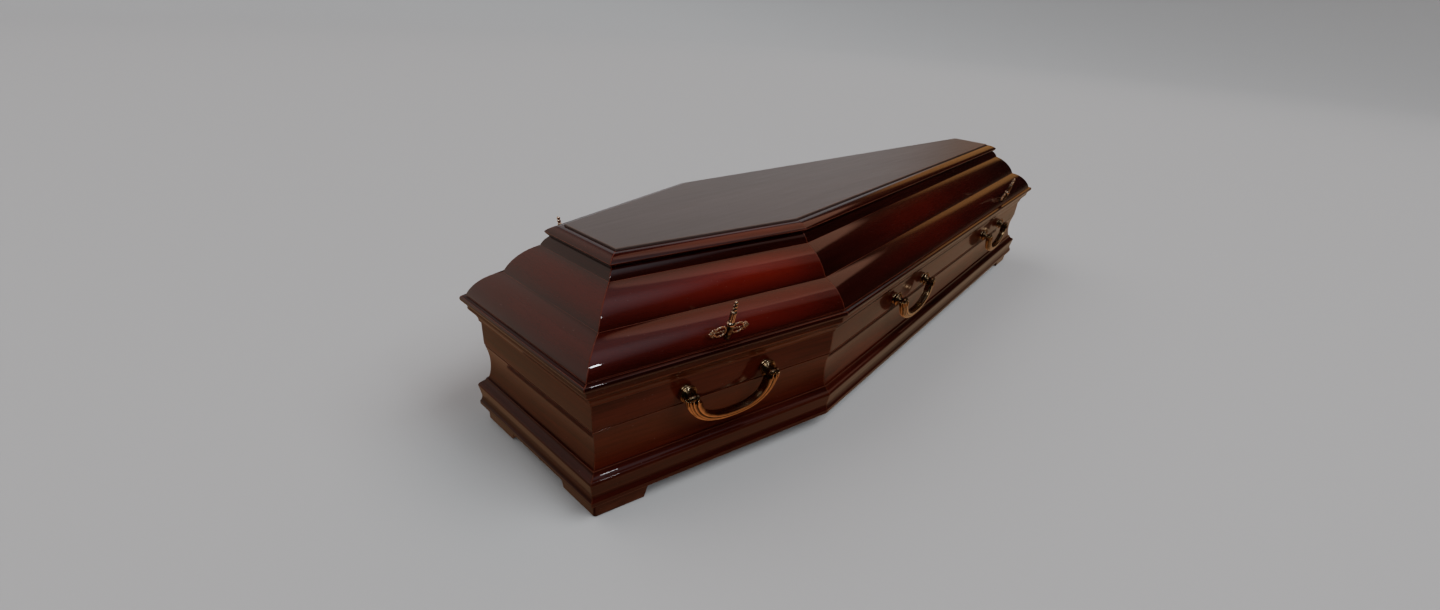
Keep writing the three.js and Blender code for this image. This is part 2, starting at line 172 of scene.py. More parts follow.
# Faces between rows of points that go round, with a cap at each end unless the last row meets the first
def sweptFaces(rows, count, closed=False, flipped=False):
    faces = []
    for row in range(rows if closed else rows - 1):
        here, following = row * count, (row + 1) % rows * count
        for k in range(count):
            m = (k + 1) % count
            faces.append((here + k, here + m, following + m, following + k))
    if not closed:
        faces.append(tuple(range(count - 1, -1, -1)))
        faces.append(tuple((rows - 1) * count + k for k in range(count)))
    return [face[:1] + face[:0:-1] for face in faces] if flipped else faces


def makeObject(name, verts, faces, body, nodes, material, place=None, values=None, sharp=35):
    mesh = bpy.data.meshes.new(name)
    mesh.from_pydata([tuple(v) for v in verts], [], faces)
    for attribute, numbers in (values or {}).items():
        data = mesh.attributes.new(attribute, "FLOAT", "POINT")
        data.data.foreach_set("value", numbers)
    mesh.polygons.foreach_set("use_smooth", [True] * len(mesh.polygons))
    mesh.set_sharp_from_angle(angle=math.radians(sharp))
    mesh.update()
    piece = bpy.data.objects.new(name, mesh)
    bpy.context.scene.collection.objects.link(piece)
    if place is not None:
        piece.matrix_world = place
    for one in material if isinstance(material, list) else [material]:
        mesh.materials.append(one)
    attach(piece, body)
    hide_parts(*nodes)
    return piece


# Shader groups

def newGroup(name, inputs, outputs):
    group = bpy.data.node_groups.new(name, "ShaderNodeTree")
    kinds = {"color": "NodeSocketColor", "number": "NodeSocketFloat", "vector": "NodeSocketVector"}
    for label, kind, value in inputs:
        socket = group.interface.new_socket(name=label, in_out="INPUT", socket_type=kinds[kind])
        if value is not None:
            socket.default_value = value
    for label, kind in outputs:
        group.interface.new_socket(name=label, in_out="OUTPUT", socket_type=kinds[kind])
    return group, group.nodes.new("NodeGroupInput"), group.nodes.new("NodeGroupOutput")


def addNode(tree, kind, settings=None, **links):
    node = tree.nodes.new(kind)
    for key, value in (settings or {}).items():
        setattr(node, key, value)
    for key, value in links.items():
        target = node.inputs[int(key[1:])] if key[0] == "i" and key[1:].isdigit() else node.inputs[key]
        if isinstance(value, bpy.types.NodeSocket):
            tree.links.new(value, target)
        else:
            target.default_value = value
    return node


def mathNode(tree, operation, first, second=0.0, clamp=False):
    settings = {"operation": operation, "use_clamp": clamp}
    return addNode(tree, "ShaderNodeMath", settings, i0=first, i1=second).outputs[0]


def mixColor(tree, share, first, second, blendType="MIX"):
    settings = {"data_type": "RGBA", "blend_type": blendType, "clamp_factor": True}
    node = addNode(tree, "ShaderNodeMix", settings)
    for socket, value in ((node.inputs[0], share), (node.inputs[6], first), (node.inputs[7], second)):
        if isinstance(value, bpy.types.NodeSocket):
            tree.links.new(value, socket)
        else:
            socket.default_value = value
    return node.outputs[2]


def stretchedNoise(tree, vector, stretch, detail, roughness, distortion=0.0):
    mapping = addNode(tree, "ShaderNodeMapping", Vector=vector, Scale=stretch)
    noise = addNode(tree, "ShaderNodeTexNoise", Vector=mapping.outputs[0], Scale=1.0, Detail=detail,
                    Roughness=roughness, Distortion=distortion)
    return noise.outputs[0]


def rangeOf(tree, value, low, high, toLow=0.0, toHigh=1.0):
    node = addNode(tree, "ShaderNodeMapRange", {"clamp": True}, i0=value, i1=low, i2=high, i3=toLow,
                   i4=toHigh)
    return node.outputs[0]


# Stained wood: ribbons and pores run along X, edges are rubbed lighter, and a red sheen is painted on the
# swells where light falls on them
def makeWoodGroup():
    group, given, result = newGroup("stainedWood", [
        ("Vector", "vector", None),
        ("Dark", "color", (0.02, 0.004, 0.003, 1)),
        ("Light", "color", (0.1, 0.012, 0.008, 1)),
        ("Glow Color", "color", (0.2, 0.015, 0.01, 1)),
        ("Edge Color", "color", (0.25, 0.06, 0.03, 1)),
        ("Wear", "number", 0.0),
        ("Glow", "number", 0.0),
        ("Roughness", "number", 0.3),
    ], [("Color", "color"), ("Roughness", "number"), ("Height", "number")])
    tree = group
    vector = given.outputs["Vector"]
    ribbon = stretchedNoise(tree, vector, (1.7, 22.0, 22.0), 5.0, 0.6, 0.6)
    fine = stretchedNoise(tree, vector, (7.0, 160.0, 160.0), 4.0, 0.65)
    pore = stretchedNoise(tree, vector, (38.0, 1500.0, 1500.0), 2.0, 0.5)
    cloud = stretchedNoise(tree, vector, (2.3, 5.0, 5.0), 3.0, 0.55)
    ribbonShare = rangeOf(tree, ribbon, 0.34, 0.68)
    fineShare = rangeOf(tree, fine, 0.32, 0.7)
    share = mathNode(tree, "ADD", mathNode(tree, "MULTIPLY", ribbonShare, 0.65),
                     mathNode(tree, "MULTIPLY", fineShare, 0.35))
    color = mixColor(tree, share, given.outputs["Dark"], given.outputs["Light"])
    cloudShare = rangeOf(tree, cloud, 0.3, 0.7)
    cloudGain = mathNode(tree, "ADD", mathNode(tree, "MULTIPLY", cloudShare, 0.7), 0.45)
    # Painted red sheen: the sheen colour is mixed in over the swells, broken up by the cloud
    painted_sheen = mathNode(tree, "MULTIPLY", given.outputs["Glow"], cloudGain, clamp=True)
    color = mixColor(tree, painted_sheen, color, given.outputs["Glow Color"])
    poreShare = rangeOf(tree, pore, 0.6, 0.72, 0.0, 0.45)
    color = mixColor(tree, poreShare, color, given.outputs["Dark"])
    patchy = mathNode(tree, "MULTIPLY", given.outputs["Wear"], rangeOf(tree, fine, 0.35, 0.6, 0.25, 0.85))
    color = mixColor(tree, patchy, color, given.outputs["Edge Color"])
    tree.links.new(color, result.inputs["Color"])
    rough = mathNode(tree, "ADD", given.outputs["Roughness"], rangeOf(tree, fine, 0.3, 0.7, -0.04, 0.06))
    tree.links.new(rough, result.inputs["Roughness"])
    height = mathNode(tree, "SUBTRACT", mathNode(tree, "MULTIPLY", fine, 0.6), poreShare)
    tree.links.new(height, result.inputs["Height"])
    return group


# Lacquer ripple: the slow unevenness that bends reflections in a sprayed coat
def makeRippleGroup():
    group, given, result = newGroup("lacquerRipple", [
        ("Vector", "vector", None),
        ("Size", "number", 14.0),
    ], [("Height", "number"), ("Mask", "number")])
    noise = addNode(group, "ShaderNodeTexNoise", Vector=given.outputs["Vector"],
                    Scale=given.outputs["Size"], Detail=2.0, Roughness=0.45)
    peel = addNode(group, "ShaderNodeTexNoise", Vector=given.outputs["Vector"], Scale=260.0, Detail=1.0,
                   Roughness=0.5)
    height = mathNode(group, "ADD", noise.outputs[0], mathNode(group, "MULTIPLY", peel.outputs[0], 0.012))
    group.links.new(height, result.inputs["Height"])
    dust = addNode(group, "ShaderNodeTexNoise", Vector=given.outputs["Vector"], Scale=420.0, Detail=0.0)
    mask = rangeOf(group, dust.outputs[0], 0.85, 0.9, 0.0, 0.2)
    group.links.new(mask, result.inputs["Mask"])
    return group


# Old cast metal: dark in the hollows, rubbed bright on the ridges
def makeBronzeGroup():
    group, given, result = newGroup("agedBronze", [
        ("Vector", "vector", None),
        ("Bright", "color", (0.6, 0.35, 0.14, 1)),
        ("Dark", "color", (0.05, 0.03, 0.018, 1)),
        ("Polish", "number", 0.5),
    ], [("Color", "color"), ("Roughness", "number"), ("Height", "number")])
    cloud = addNode(group, "ShaderNodeTexNoise", Vector=given.outputs["Vector"], Scale=90.0, Detail=4.0,
                    Roughness=0.6)
    speck = addNode(group, "ShaderNodeTexNoise", Vector=given.outputs["Vector"], Scale=900.0, Detail=2.0,
                    Roughness=0.6)
    cloudShare = rangeOf(group, cloud.outputs[0], 0.3, 0.7, -0.22, 0.16)
    share = mathNode(group, "ADD", given.outputs["Polish"], cloudShare, clamp=True)
    color = mixColor(group, share, given.outputs["Dark"], given.outputs["Bright"])
    group.links.new(color, result.inputs["Color"])
    rough = mathNode(group, "SUBTRACT", rangeOf(group, speck.outputs[0], 0.3, 0.7, 0.28, 0.38),
                     mathNode(group, "MULTIPLY", share, 0.2))
    group.links.new(rough, result.inputs["Roughness"])
    group.links.new(speck.outputs[0], result.inputs["Height"])
    return group


woodGroup = makeWoodGroup()
rippleGroup = makeRippleGroup()
bronzeGroup = makeBronzeGroup()


def newMaterial(name):
    material = bpy.data.materials.new(name)
    material.use_nodes = True
    tree = material.node_tree
    tree.nodes.clear()
    output = tree.nodes.new("ShaderNodeOutputMaterial")
    shader = tree.nodes.new("ShaderNodeBsdfPrincipled")
    tree.links.new(shader.outputs[0], output.inputs["Surface"])
    return material, tree, shader


def useGroup(tree, group, **values):
    node = tree.nodes.new("ShaderNodeGroup")
    node.node_tree = group
    for key, value in values.items():
        socket = node.inputs[key.replace("_", " ")]
        if isinstance(value, bpy.types.NodeSocket):
            tree.links.new(value, socket)
        else:
            socket.default_value = value
    return node


def readNumber(tree, name):
    return addNode(tree, "ShaderNodeAttribute", {"attribute_name": name}).outputs["Fac"]


def grainVector(tree):
    where = addNode(tree, "ShaderNodeTexCoord").outputs["Object"]
    shift = readNumber(tree, "shift")
    offset = addNode(tree, "ShaderNodeCombineXYZ", X=shift, Y=shift, Z=0.0)
    total = addNode(tree, "ShaderNodeVectorMath", {"operation": "ADD"}, i0=where, i1=offset.outputs[0])
    return total.outputs[0]


def makeWood(name, look):
    material, tree, shader = newMaterial(name)
    vector = grainVector(tree)
    wood = useGroup(tree, woodGroup, Vector=vector, Dark=look["dark"], Light=look["light"],
                    Glow_Color=look["painted_sheen"], Edge_Color=look["edge"], Wear=readNumber(tree, "wear"),
                    Glow=readNumber(tree, "painted_sheen"), Roughness=look["roughness"])
    ripple = useGroup(tree, rippleGroup, Vector=vector, Size=look["rippleSize"])
    bump = addNode(tree, "ShaderNodeBump", Strength=look["ripple"], Distance=0.01,
                   Height=ripple.outputs["Height"])
    grain = addNode(tree, "ShaderNodeBump", Strength=look["grainDepth"], Distance=0.0004,
                    Height=wood.outputs["Height"], Normal=bump.outputs[0])
    dusty = mixColor(tree, ripple.outputs["Mask"], wood.outputs["Color"], (0.3, 0.26, 0.24, 1))
    tree.links.new(dusty, shader.inputs["Base Color"])
    tree.links.new(wood.outputs["Roughness"], shader.inputs["Roughness"])
    tree.links.new(grain.outputs[0], shader.inputs["Normal"])
    shader.inputs["IOR"].default_value = 1.5
    shader.inputs["Specular IOR Level"].default_value = look["specular"]
    shader.inputs["Coat Weight"].default_value = look["coat"]
    shader.inputs["Coat Roughness"].default_value = look["coatRoughness"]
    shader.inputs["Coat IOR"].default_value = 1.52
    return material


# Each look's sheen colour is a painted red sheen, laid where light falls on the swells
redLacquerLook = {
    "dark": (0.006, 0.0009, 0.0007, 1),
    "light": (0.022, 0.0026, 0.0017, 1),
    "painted_sheen": (0.13, 0.008, 0.005, 1),
    "edge": (0.16, 0.035, 0.02, 1),
    "roughness": 0.32,
    "specular": 0.05,
    "coat": 1.0,
    "coatRoughness": 0.025,
    "ripple": 0.035,
    "rippleSize": 9.0,
    "grainDepth": 0.15,
}
darkLacquerLook = dict(redLacquerLook, dark=(0.008, 0.0011, 0.0006, 1), light=(0.072, 0.0095, 0.0046, 1),
                       painted_sheen=(0.11, 0.024, 0.008, 1), edge=(0.12, 0.035, 0.018, 1), coat=0.65)
plinthLook = dict(darkLacquerLook, dark=(0.005, 0.0008, 0.0005, 1), light=(0.038, 0.005, 0.003, 1),
                  edge=(0.1, 0.03, 0.016, 1), coat=0.55)
satinLook = dict(redLacquerLook, dark=(0.052, 0.036, 0.031, 1), light=(0.072, 0.052, 0.046, 1),
                 painted_sheen=(0.09, 0.05, 0.04, 1), edge=(0.14, 0.07, 0.05, 1), roughness=0.42, specular=0.3,
                 coat=0.6, coatRoughness=0.36, ripple=0.015, grainDepth=0.3)
bareLook = dict(redLacquerLook, dark=(0.2, 0.11, 0.055, 1), light=(0.42, 0.27, 0.15, 1),
                painted_sheen=(0.42, 0.27, 0.15, 1), edge=(0.5, 0.34, 0.2, 1), roughness=0.65, specular=0.35,
                coat=0.0, coatRoughness=0.4, ripple=0.0, grainDepth=0.8)

redLacquer = makeWood("redLacquer", redLacquerLook)
darkLacquer = makeWood("darkLacquer", darkLacquerLook)
plinthLacquer = makeWood("plinthLacquer", plinthLook)
satinLacquer = makeWood("satinLacquer", satinLook)
bareWood = makeWood("bareWood", bareLook)


def makeBronze(name, look):
    material, tree, shader = newMaterial(name)
    where = addNode(tree, "ShaderNodeTexCoord").outputs["Object"]
    bronze = useGroup(tree, bronzeGroup, Vector=where, Bright=look["bright"], Dark=look["dark"],
                      Polish=readNumber(tree, "polish"))
    bump = addNode(tree, "ShaderNodeBump", Strength=look["grain"], Distance=0.0002,
                   Height=bronze.outputs["Height"])
    tree.links.new(bronze.outputs["Color"], shader.inputs["Base Color"])
    tree.links.new(bronze.outputs["Roughness"], shader.inputs["Roughness"])
    tree.links.new(bump.outputs[0], shader.inputs["Normal"])
    shader.inputs["Metallic"].default_value = 1.0
    return material


handleBronze = makeBronze("handleBronze", {"bright": (0.76, 0.55, 0.32, 1), "dark": (0.05, 0.032, 0.024, 1),
                                           "grain": 0.05})
screwBronze = makeBronze("screwBronze", {"bright": (0.95, 0.78, 0.58, 1), "dark": (0.1, 0.07, 0.05, 1),
                                         "grain": 0.05})
print("materials made")


# Runs a profile along a side, mitred at both ends, with the mitres' arrises eased

mitreEasing = [  # distance from the end, inset, wear
    (0.0, 0.4, 1.0), (0.5, 0.14, 0.5), (1.2, 0.03, 0.1), (2.4, 0.0, 0.0),
]
mitreGap = 0.08
sheenRows = [0.04, 0.1, 0.18, 0.28, 0.4]  # between the mitres, as shares of the length there
# The red sheen painted along each side, given per side as below
sidePaintedSheen = {  # strength, where along the side it is strongest, and how much is left at the mitres
    "head": (0.36, 0.5, 0.85),
    "foot": (0.36, 0.5, 0.85),
    "front_short": (0.85, 0.25, 0.45),
    "back_short": (0.85, 0.75, 0.45),
    "front_long": (0.28, 0.6, 0.0),
    "back_long": (0.28, 0.4, 0.0),
}


def runMoulding(name, profile, side, base, material):
    loop = roundCorners(profile)
    normals = inwardNormals(loop)
    length = side["length"] / mm
    rows = [(0.0, distance, inset, wear) for distance, inset, wear in mitreEasing]
    rows += [(share, 0.0, 0.0, 0.0) for share in sheenRows]
    rows += [(1 - share, -distance, inset, wear) for share, distance, inset, wear in reversed(rows)]
    strength, peak, least = sidePaintedSheen[side["name"]]
    verts, wears, paintedSheens = [], [], []
    for share, distance, inset, wear in rows:
        # The painted sheen fades from its peak along the side towards the mitres
        middle = strength * blend(least, 1.0, smoothStep(min(share / peak, (1 - share) / (1 - peak))))
        for (point, arris, sheenShare), normal in zip(loop, normals):
            moved = point + normal * inset
            start = mitreGap - point.x * side["startMitre"]
            end = length - mitreGap + point.x * side["endMitre"]
            verts.append(Vector((blend(start, end, share) + distance, moved.x, moved.y)) * mm)
            wears.append(max(arris, wear))
            paintedSheens.append(sheenShare * middle)
    faces = sweptFaces(len(rows), len(loop), flipped=loopArea(loop) > 0)
    shift = [0.37 * side["index"] + 0.13 * len(name)] * len(verts)
    place = side["place"] @ Matrix.Translation((0, 0, base))
    node = f"{name}_{side['name']}"
    return makeObject(f"{node}_finish", verts, faces, "coffin", [node], material, place,
                      {"wear": wears, "painted_sheen": paintedSheens, "shift": shift})


# Walls and the mouldings of the base, measured from the underside of the base

baseLook = {
    "wallThickness": 22.0,
    "grooveHeight": 149.0,
    "grooveWidth": 3.0,
    "grooveDepth": 3.0,
    "coveDepth": 6.0,
    "plinthHeight": 67.0,
    "plinthProjection": 18.5,
    "plinthSlope": 12.5,
    "plinthNose": 7.0,
    "plinthWaist": 23.5,
    "plinthWaistDepth": 4.5,
    "plinthBand": 9.0,
    "rimHeight": 45.0,
    "rimProjection": 17.5,
    "rimFace": 13.0,
    "rimNose": 8.0,
    "rimFillet": 4.0,
    "rimFilletProjection": 3.5,
    "floorClearance": 0.3,
    "floorRadius": 1.0,
}
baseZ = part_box("wall_head")[0].z
wallHeight = (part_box("wall_head")[1].z - baseZ) / mm


def wallProfile(look):
    thickness = look["wallThickness"]
    middle, half = look["grooveHeight"], look["grooveWidth"] / 2
    points = [(-thickness, 0.0, 0.0, 0.0), (0.0, 0.0, 0.0, 0.0), (0.0, look["plinthHeight"], 0.0, 0.0)]
    # The lower cove carries a painted red sheen
    arcTo(points, -1.0, middle - half, -look["coveDepth"], 28, radius=0.7, painted_sheen=0.5)
    points.append((-look["grooveDepth"], middle - half * 0.4, 0.5, 0.0))
    points.append((-look["grooveDepth"], middle + half * 0.4, 0.5, 0.0))
    points.append((-0.4, middle + half, 0.7, 0.0))
    points.append((0.0, middle + half + 5.0, 0.0, 0.0))
    points.append((0.0, wallHeight, 0.0, 0.0))
    points.append((-thickness, wallHeight, 0.0, 0.0))
    return points


def plinthProfile(look):
    out, top = look["plinthProjection"], look["plinthHeight"]
    nose = top - look["plinthSlope"]
    points = [(0.1, 0.0, 0.0, 0.0), (out, 0.0, 1.5, 0.0), (out, look["plinthBand"], 0.8, 0.0)]
    arcTo(points, out - look["plinthWaistDepth"], look["plinthWaist"], -1.2, 7, radius=1.0)
    points.append((out - 0.6, nose - look["plinthNose"], 1.6, 0.0))
    # The nose carries a painted sheen
    arcTo(points, out - 3.0, nose + 0.6, 1.2, 8, painted_sheen=0.3)
    arcTo(points, 4.5, top - 1.6, -2.0, 9, radius=0.8)
    points.append((4.0, top, 0.8, 0.0))
    points.append((0.1, top, 0.0, 0.0))
    return points


def rimProfile(look):
    top = wallHeight
    faceBottom, bottom = top - look["rimFace"], top - look["rimHeight"]
    # The fillet and the face carry a painted orange-brown sheen where light falls on them
    points = [(0.1, bottom, 0.0, 0.0), (look["rimFilletProjection"], bottom, 0.8, 0.6)]
    points.append((look["rimFilletProjection"], bottom + look["rimFillet"], 0.6, 0.6))
    arcTo(points, look["rimProjection"] - 2.5, faceBottom - look["rimNose"], -1.5, 10, radius=1.0, painted_sheen=1.0)
    arcTo(points, look["rimProjection"], faceBottom, 1.2, 6, radius=0.8, painted_sheen=1.0)
    points.append((look["rimProjection"], top, 1.0, 0.6))
    points.append((0.1, top, 0.0, 0.0))
    return points


for side in sides:
    runMoulding("wall", wallProfile(baseLook), side, baseZ, darkLacquer)
    runMoulding("plinth_moulding", plinthProfile(baseLook), side, baseZ,
                plinthLacquer)
    runMoulding("rim_moulding", rimProfile(baseLook), side, baseZ, darkLacquer)
print("base made")


# Lid sides and cornice, measured from their undersides

lidLook = {
    "lipOverhang": 27.5,
    "lipHeight": 11.0,
    "lipWidth": 10.5,
    "lipGroove": 1.2,
    "rollFoot": 14.5,
    "lowerRoll": (58.5, 48.5, 8.8),  # width, height, bulge
    "upperRoll": (58.5, 58.0, 8.0),
    "neck": (15.0, 19.0, 1.8),
    "thickness": 18.0,
    "corniceWidth": 30.5,
    "corniceOverhang": 8.0,
    "corniceUndercut": 9.0,
    "corniceBulge": 3.6,
    "panelGap": 0.1,
    "panelRadius": 1.6,
}
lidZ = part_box("lid_side_head")[0].z
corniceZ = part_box("lid_cornice_head")[0].z
lidHeight = (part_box("lid_side_head")[1].z - lidZ) / mm
corniceHeight = (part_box("lid_cornice_head")[1].z - corniceZ) / mm
rollOut = lidLook["lipOverhang"] - lidLook["lipWidth"]
valleyOut = rollOut - lidLook["lowerRoll"][0]
valleyUp = lidLook["rollFoot"] + lidLook["lowerRoll"][1]
neckOut = valleyOut - lidLook["upperRoll"][0]
neckUp = valleyUp + lidLook["upperRoll"][1]
neckTopOut = neckOut - lidLook["neck"][0]
panelOut = neckTopOut + lidLook["corniceOverhang"] - lidLook["corniceWidth"]


def lidSideProfile(look):
    slope = (neckUp - look["rollFoot"]) / (rollOut - neckOut)
    drop = look["thickness"] * math.hypot(1, slope)
    inner = -baseLook["wallThickness"]
    innerUp = valleyUp - drop - (inner - valleyOut) * slope
    topInner = valleyOut - (lidHeight - valleyUp + drop) / slope
    lip = look["lipOverhang"]
    points = [(inner, 0.0, 0.0, 0.0), (lip - 2.0, 0.0, 1.5, 0.0)]
    arcTo(points, lip - 2.5, look["lipHeight"], 2.3, 12, radius=0.8)
    points.append((rollOut - look["lipGroove"], look["lipHeight"] + 0.5, 0.6, 0.0))
    points.append((rollOut, look["rollFoot"], 0.8, 0.0))
    # Both rolls carry a painted red sheen, fuller on the upper roll
    arcTo(points, valleyOut, valleyUp, look["lowerRoll"][2], 32, radius=0.5, painted_sheen=0.75)
    arcTo(points, neckOut, neckUp, look["upperRoll"][2], 32, radius=0.5, painted_sheen=1.0)
    arcTo(points, neckTopOut, lidHeight, look["neck"][2], 8)
    points.append((topInner, lidHeight, 0.0, 0.0))
    points.append((inner, innerUp, 0.0, 0.0))
    return points


def corniceProfile(look):
    lip = neckTopOut + look["corniceOverhang"]
    points = [(panelOut + 0.1, 0.0, 0.0, 0.0), (neckTopOut + 1.0, 0.0, 0.6, 0.0)]
    points.append((lip - 1.6, look["corniceUndercut"] - 3.0, 1.0, 0.0))
    points.append((lip, look["corniceUndercut"], 1.0, 0.0))
    # The cornice's bulge carries a painted sheen
    arcTo(points, panelOut + 0.1, corniceHeight, look["corniceBulge"], 16, painted_sheen=0.4)
    return points


for side in sides:
    runMoulding("lid_side", lidSideProfile(lidLook), side, lidZ, redLacquer)
    runMoulding("lid_cornice", corniceProfile(lidLook), side, corniceZ, redLacquer)
print("lid made")


# Plates with the coffin's outline, built up from levels of (offset, height, wear)

def hexagonPlate(name, node, levels, material):
    verts, wears = [], []
    for offset, height, wear in levels:
        for index in range(6):
            corner = outlineCorner(index, offset)
            verts.append((corner.x, corner.y, height))
            wears.append(wear)
    faces = sweptFaces(len(levels), 6, flipped=True)
    zeros = [0.0] * len(verts)
    shift = [2.9] * len(verts)
    piece = makeObject(name, verts, faces, "coffin", [node], material, None,
                       {"wear": wears, "painted_sheen": zeros, "shift": shift})
    for edge in piece.data.edges:
        if abs(edge.vertices[0] - edge.vertices[1]) == 6:
            edge.use_edge_sharp = True
    return piece


# The lower edge is cut off by the guard, and the upper one is rounded
def plateLevels(offset, low, high, radius, guard=0.0015, steps=7):
    levels = [(offset - guard, low, 0.0), (offset, low + guard, 0.0)]
    levels.append((offset, high - radius * 1.6, 0.0))
    for step in range(steps + 1):
        turn = math.pi / 2 * step / steps
        inset = radius * (1 - math.cos(turn))
        levels.append((offset - inset, high - radius * (1 - math.sin(turn)), 0.3 * math.sin(turn)))
    levels.append((offset - radius - guard, high, 0.0))
    return levels


panelLow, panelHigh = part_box("lid_top_panel")
panelLevels = plateLevels((panelOut - lidLook["panelGap"]) * mm, panelLow.z, panelHigh.z,
                          lidLook["panelRadius"] * mm)
hexagonPlate("lid_top_panel_finish", "lid_top_panel", panelLevels, satinLacquer)
floorLow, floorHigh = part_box("floor_board")
floorOut = -(baseLook["wallThickness"] + baseLook["floorClearance"])
floorLevels = plateLevels(floorOut * mm, floorLow.z, floorHigh.z, baseLook["floorRadius"] * mm)
hexagonPlate("floor_board_finish", "floor_board", floorLevels, bareWood)
print("panel and floor made")


# Bracket feet

footLook = {
    "leg": 0.112,
    "slant": 0.012,
    "thickness": 0.030,
    "projection": 0.007,
    "cornerRadius": 0.007,
    "easing": 0.0015,
    "topEasing": 0.0008,
}
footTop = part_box("bracket_foot_head_front")[1].z


def makeFoot(name, index, look):
    before, after = sides[index - 1], sides[index]
    outer = outlineCorner(index, look["projection"])
    inner = outlineCorner(index, look["projection"] - look["thickness"])
    back = -before["along"]
    reach = look["cornerRadius"] * before["endMitre"]
    first = outer + back * reach
    last = outer + after["along"] * reach
    rounding = [first.lerp(outer, s).lerp(outer.lerp(last, s), s) for s in [k / 8 for k in range(9)]]
    verts, wears = [], []
    easing, topEasing = look["easing"], look["topEasing"]
    levels = [(0.0, easing, 0.2), (easing, 0.0, 0.5)]  # height, inset, wear
    levels += [(footTop - topEasing, 0.0, 0.0), (footTop, topEasing, 0.0)]
    for height, inset, wear in levels:
        leg = look["leg"] - look["slant"] * (1 - smoothStep(height / footTop)) - inset
        tipBefore = outer + back * leg - before["outward"] * inset
        tipAfter = outer + after["along"] * leg - after["outward"] * inset
        cornerInset = (inner - outer).normalized() * inset
        loop = [tipBefore - before["outward"] * (look["thickness"] - inset * 2), tipBefore]
        loop += [point + cornerInset for point in rounding]
        loop += [tipAfter, tipAfter - after["outward"] * (look["thickness"] - inset * 2), inner]
        verts += [(point.x, point.y, height) for point in loop]
        wears += [wear] * len(loop)
    faces = sweptFaces(len(levels), len(loop), flipped=True)
    zeros = [0.0] * len(verts)
    shift = [1.7 + index] * len(verts)
    makeObject(f"{name}_finish", verts, faces, "coffin", [name], plinthLacquer, None,
               {"wear": wears, "painted_sheen": zeros, "shift": shift})


for name, index in (("head_front", 0), ("head_back", 1), ("foot_back", 3), ("foot_front", 4)):
    makeFoot(f"bracket_foot_{name}", index, footLook)
print("feet made")


# Helpers for metal: every builder adds to lists of verts, faces and polish

class Metal:
    def __init__(self):
        self.verts, self.faces, self.polish = [], [], []

    def add(self, verts, faces, polish, place=None):
        first = len(self.verts)
        self.verts += [place @ v for v in verts] if place is not None else list(verts)
        self.faces += [tuple(first + i for i in face) for face in faces]
        self.polish += polish if isinstance(polish, list) else [polish] * len(verts)

    def lathe(self, outline, segments, place=None, flutes=None):
        verts, polish = [], []
        for radius, height, shine in outline:
            for k in range(segments):
                turn = 2 * math.pi * k / segments
                grown, extra = radius, 0.0
                if flutes and flutes["low"] < height < flutes["high"]:
                    wave = abs(math.sin(turn * flutes["count"] / 2))
                    grown = radius * (1 - flutes["depth"] * (1 - wave))
                    extra = -0.5 * (1 - wave)
                verts.append(Vector((grown * math.cos(turn), grown * math.sin(turn), height)))
                polish.append(max(shine + extra, 0.0))
        self.add(verts, sweptFaces(len(outline), segments), polish, place)

    def ball(self, centre, radius, polish=0.95, rings=8, segments=12):
        outline = []
        for ring in range(rings + 1):
            turn = math.pi * (ring + 0.02) / (rings + 0.04)
            outline.append((radius * math.sin(turn), -radius * math.cos(turn), polish))
        self.lathe(outline, segments, Matrix.Translation(centre))

    def tube(self, path, radius, polish=0.85, segments=8, closed=True):
        verts = []
        count = len(path)
        for i, point in enumerate(path):
            ahead = path[(i + 1) % count] if closed or i < count - 1 else point
            behind = path[i - 1] if closed or i > 0 else point
            run = (ahead - behind).normalized()
            across = run.cross(Vector((0, 1, 0))).normalized()
            up = across.cross(run)
            for k in range(segments):
                turn = 2 * math.pi * k / segments
                verts.append(point + across * radius * math.cos(turn) + up * radius * math.sin(turn))
        self.add(verts, sweptFaces(count, segments, closed), polish)

    def build(self, name, body, node, material, place):
        verts = [v * mm for v in self.verts]
        return makeObject(name, verts, self.faces, body, [node], material, place,
                          {"polish": self.polish}, 40)


# Handles, in a frame with X along the wall, Y out of it and the origin between the pivots

handleLook = {
    "postSpacing": 184.0,
    "pivotOut": 26.0,
    "eyeRadius": 7.2,
    "eyeWidth": 11.6,
    "pinRadius": 3.0,
    "pinEnds": (2.6, 3.6),
    "earThickness": 4.0,
    "earGap": 0.6,
    "earInset": 0.4,
    "earOverlap": 2.0,
    "halfWidth": 75.0,
    "drop": 54.0,
    "squareness": 2.4,
    "depth": 18.0,
    "height": 14.5,
    "flare": 2.1,
    "ridges": 9,
    "ridgeDepth": 0.3,
    "roundness": (0.62, 0.75),  # powers that square the section off, outward and across
    "topDrop": 8.7,
    "petalRise": 6.5,
    "petalRoot": 4.0,
    "petalRadius": 1.9,
    "ballRadius": 2.1,
}
postRings = [
    # radius, distance from the wall, polish
    (15.0, 0.1, 0.3), (15.2, 1.0, 0.7), (14.6, 3.4, 0.9), (13.6, 4.2, 0.6), (9.6, 4.8, 0.15),
    (8.6, 5.6, 0.1), (9.4, 7.0, 0.15), (15.6, 7.6, 0.35), (17.4, 8.2, 0.85), (18.0, 9.6, 1.0),
    (17.8, 11.0, 1.0), (16.9, 12.0, 0.9), (16.0, 12.2, 0.3), (15.2, 12.1, 0.25), (14.6, 13.2, 0.9),
    (13.8, 13.8, 1.0), (13.0, 13.2, 0.8), (12.3, 11.6, 0.15), (11.2, 11.2, 0.1), (10.6, 12.4, 0.7),
    (9.9, 13.0, 0.8), (9.2, 12.6, 0.4), (8.4, 12.4, 0.15), (7.6, 14.0, 0.2), (6.4, 16.6, 0.25),
    (6.0, 20.0, 0.2), (6.0, 24.0, 0.2),
]


